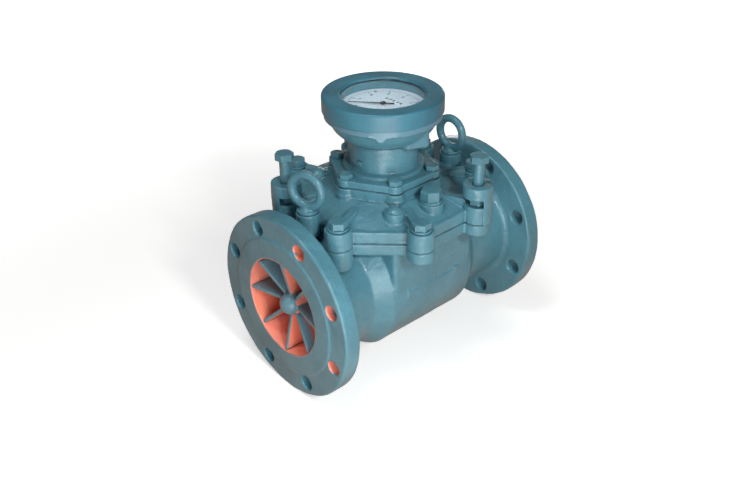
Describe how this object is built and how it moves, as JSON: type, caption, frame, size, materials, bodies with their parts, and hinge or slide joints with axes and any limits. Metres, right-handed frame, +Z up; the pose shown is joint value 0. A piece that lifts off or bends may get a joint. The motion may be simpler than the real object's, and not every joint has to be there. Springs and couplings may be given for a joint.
{
  "type": "turbine flow meter",
  "caption": "Flanged cast-metal turbine flow meter with a bolted cover, round dial register on a neck, drum counter, pointer, flow vanes and a geared rotor.",
  "frame": {"origin": "on the pipe axis, in the plane of the inlet flange's bolt holes", "axes": "+X along the flow from inlet to outlet, +Z up through the dial, +Y completes the right-handed frame"},
  "size_m": [0.41, 0.3144, 0.4149],
  "materials": {
    "body_enamel": "thick gloss enamel, teal blue",
    "vane_enamel": "gloss enamel, teal blue",
    "bezel_enamel": "gloss enamel, deeper blue",
    "skirt_enamel": "satin enamel, light teal",
    "gasket_rubber": "matt",
    "bare_steel": "fine turned",
    "rotor_alloy": "satin",
    "brass": "machined",
    "magnet_grey": "ground",
    "window_glass": "clear, polished",
    "dial_white": "matt white print ground",
    "pointer_black": "matt black",
    "drum_black": "matt black"
  },
  "bodies": {
    "meter": {"bearing_plate": "bare_steel", "bezel_ring": "bezel_enamel", "bezel_skirt": "skirt_enamel", "counter_axle": "bare_steel", "counter_frame": "bare_steel", "cover": "body_enamel", "cover_bolts": "body_enamel", "cover_gasket": "gasket_rubber", "cover_washers": "body_enamel", "dial_plate": "dial_white", "dial_ring": "body_enamel", "dial_screws": "bare_steel", "drive_bushes": "brass", "eye_bolt_front": "body_enamel", "eye_bolt_rear": "body_enamel", "front_hub": "vane_enamel", "glass": "window_glass", "glass_gasket": "gasket_rubber", "inlet_straightener": "vane_enamel", "insert_screws": "bare_steel", "insert_seals": "gasket_rubber", "jack_nuts": "body_enamel", "jack_screws": "body_enamel", "low_plugs": "body_enamel", "measuring_tube": "vane_enamel", "meter_body": "body_enamel", "movement_plate": "bare_steel", "neck_bolts": "body_enamel", "pedestal_gasket": "gasket_rubber", "pillars": "bare_steel", "rear_hub": "vane_enamel", "register_bowl": "body_enamel", "register_bushes": "brass", "register_neck": "body_enamel", "rotor_bushes": "brass", "seal_screw": "body_enamel", "separating_cap": "bare_steel", "tail_cone": "vane_enamel", "vent_plug": "body_enamel"},
    "rotor": {"rotor_wheel": "rotor_alloy", "rotor_shaft": "bare_steel"},
    "drive": {"worm_wheel": "brass", "drive_shaft": "bare_steel", "driver_magnet": "magnet_grey"},
    "register_drive": {"register_shaft": "bare_steel", "follower_magnet": "magnet_grey"},
    "pointer_train": {"pointer_shaft": "bare_steel", "pointer_gear": "brass", "pointer": "pointer_black"},
    "counter_drive": {"counter_gear": "brass", "counter_worm": "bare_steel"},
    "drum_units": {"number_drum_1": "drum_black", "drum_wheel": "brass"},
    "drum_tens": {"number_drum_2": "drum_black"},
    "drum_hundreds": {"number_drum_3": "drum_black"},
    "drum_thousands": {"number_drum_4": "drum_black"},
    "drum_ten_thousands": {"number_drum_5": "drum_black"}
  },
  "joints": [
    {"name": "rotor_spin", "type": "hinge", "parent": "meter", "child": "rotor", "pos_m": [0.165, 0, 0], "axis": [1, 0, 0], "continuous": true},
    {"name": "drive_shaft_spin", "type": "hinge", "parent": "meter", "child": "drive", "pos_m": [0.198, -0.0135, 0.06], "axis": [0, 0, 1], "continuous": true},
    {"name": "register_shaft_spin", "type": "hinge", "parent": "meter", "child": "register_drive", "pos_m": [0.198, -0.0135, 0.187], "axis": [0, 0, 1], "continuous": true},
    {"name": "pointer_spin", "type": "hinge", "parent": "meter", "child": "pointer_train", "pos_m": [0.198, 0, 0.227], "axis": [0, 0, 1], "continuous": true},
    {"name": "counter_shaft_spin", "type": "hinge", "parent": "meter", "child": "counter_drive", "pos_m": [0.2075, -0.02309, 0.227], "axis": [0, 0, 1], "continuous": true},
    {"name": "drum_units_spin", "type": "hinge", "parent": "meter", "child": "drum_units", "pos_m": [0.2185, -0.0152, 0.2433], "axis": [0, 1, 0], "continuous": true},
    {"name": "drum_tens_spin", "type": "hinge", "parent": "meter", "child": "drum_tens", "pos_m": [0.2185, -0.0078, 0.2433], "axis": [0, 1, 0], "continuous": true},
    {"name": "drum_hundreds_spin", "type": "hinge", "parent": "meter", "child": "drum_hundreds", "pos_m": [0.2185, -0.0004, 0.2433], "axis": [0, 1, 0], "continuous": true},
    {"name": "drum_thousands_spin", "type": "hinge", "parent": "meter", "child": "drum_thousands", "pos_m": [0.2185, 0.007, 0.2433], "axis": [0, 1, 0], "continuous": true},
    {"name": "drum_ten_thousands_spin", "type": "hinge", "parent": "meter", "child": "drum_ten_thousands", "pos_m": [0.2185, 0.0144, 0.2433], "axis": [0, 1, 0], "continuous": true}
  ],
  "couplings": [
    {"joint": "drive_shaft_spin", "follows": "rotor_spin", "ratio": 0.0625},
    {"joint": "register_shaft_spin", "follows": "rotor_spin", "ratio": 0.0625},
    {"joint": "pointer_spin", "follows": "rotor_spin", "ratio": -0.020833},
    {"joint": "counter_shaft_spin", "follows": "rotor_spin", "ratio": -0.020833},
    {"joint": "drum_units_spin", "follows": "rotor_spin", "ratio": 0.0020833},
    {"joint": "drum_tens_spin", "follows": "rotor_spin", "ratio": 0.00020833},
    {"joint": "drum_hundreds_spin", "follows": "rotor_spin", "ratio": 0.000020833},
    {"joint": "drum_thousands_spin", "follows": "rotor_spin", "ratio": 0.0000020833},
    {"joint": "drum_ten_thousands_spin", "follows": "rotor_spin", "ratio": 0.00000020833}
  ]
}
